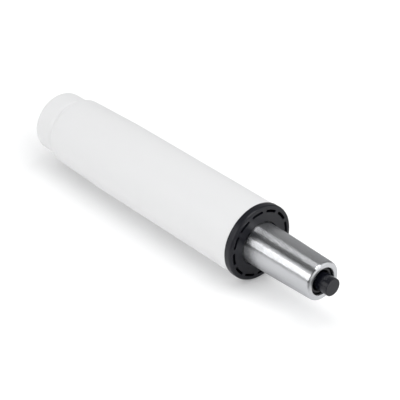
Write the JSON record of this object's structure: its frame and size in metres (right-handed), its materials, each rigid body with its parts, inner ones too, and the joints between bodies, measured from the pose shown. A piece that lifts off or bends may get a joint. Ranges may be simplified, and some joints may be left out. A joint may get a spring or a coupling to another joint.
{
  "type": "chair gas lift cylinder",
  "caption": "Office chair gas lift: white stand column with base cone, black slotted guide bush, and a chromed gas cylinder with seat cone and release button that slides and swivels.",
  "frame": {"origin": "centre of the foot's lower rim, on the cylinder axis", "axes": "+Z along the axis from the foot to the release button; the lift is stored lowered"},
  "size_m": [0.051, 0.051, 0.268],
  "materials": {
    "column_paint": "satin white powder coat",
    "black_plastic": "moulded, satin",
    "button_plastic": "moulded, matte",
    "chrome": "bright chrome over ground steel",
    "zinc_steel": "zinc plated",
    "bearing_steel": "hardened and ground",
    "spring_steel": "phosphated",
    "cage_brass": "stamped",
    "valve_brass": "turned",
    "aluminium": "turned",
    "black_rubber": "moulded"
  },
  "bodies": {
    "column": {"column_tube": "column_paint", "guide_bush": "black_plastic", "base_plate": "zinc_steel", "lower_race": "bearing_steel"},
    "bearing": {"ball_cage": "cage_brass", "bearing_balls": "bearing_steel"},
    "rod": {"upper_race": "bearing_steel", "rubber_buffer": "black_rubber", "piston_rod": "chrome", "rod_washer": "zinc_steel", "retaining_clip": "spring_steel", "piston_washer": "zinc_steel", "piston": "aluminium", "piston_seal": "black_rubber", "piston_nut": "zinc_steel"},
    "cylinder": {"gas_cylinder": "chrome", "seal_washer": "zinc_steel", "rod_seal": "black_rubber", "rod_guide": "aluminium", "rod_guide_o_ring": "black_rubber", "inner_tube": "zinc_steel", "valve_body": "aluminium", "valve_o_rings": "black_rubber", "pin_seals": "black_rubber", "pin_spacer": "valve_brass", "pin_bush": "valve_brass", "button_guide": "black_plastic"},
    "button": {"release_button": "button_plastic", "valve_pin": "zinc_steel"}
  },
  "joints": [
    {"name": "swivel", "type": "hinge", "parent": "column", "child": "rod", "pos_m": [0, 0, 0.018], "axis": [0, 0, 1], "continuous": true},
    {"name": "bearing_roll", "type": "hinge", "parent": "column", "child": "bearing", "pos_m": [0, 0, 0.018], "axis": [0, 0, 1], "continuous": true},
    {"name": "lift", "type": "slide", "parent": "rod", "child": "cylinder", "axis": [0, 0, 1], "range_m": [0, 0.085]},
    {"name": "press", "type": "slide", "parent": "cylinder", "child": "button", "axis": [0, 0, -1], "range_m": [0, 0.004], "stiffness_N_per_m": 500, "springref_m": -0.004}
  ],
  "couplings": [
    {"joint": "bearing_roll", "follows": "swivel", "ratio": 0.5}
  ]
}
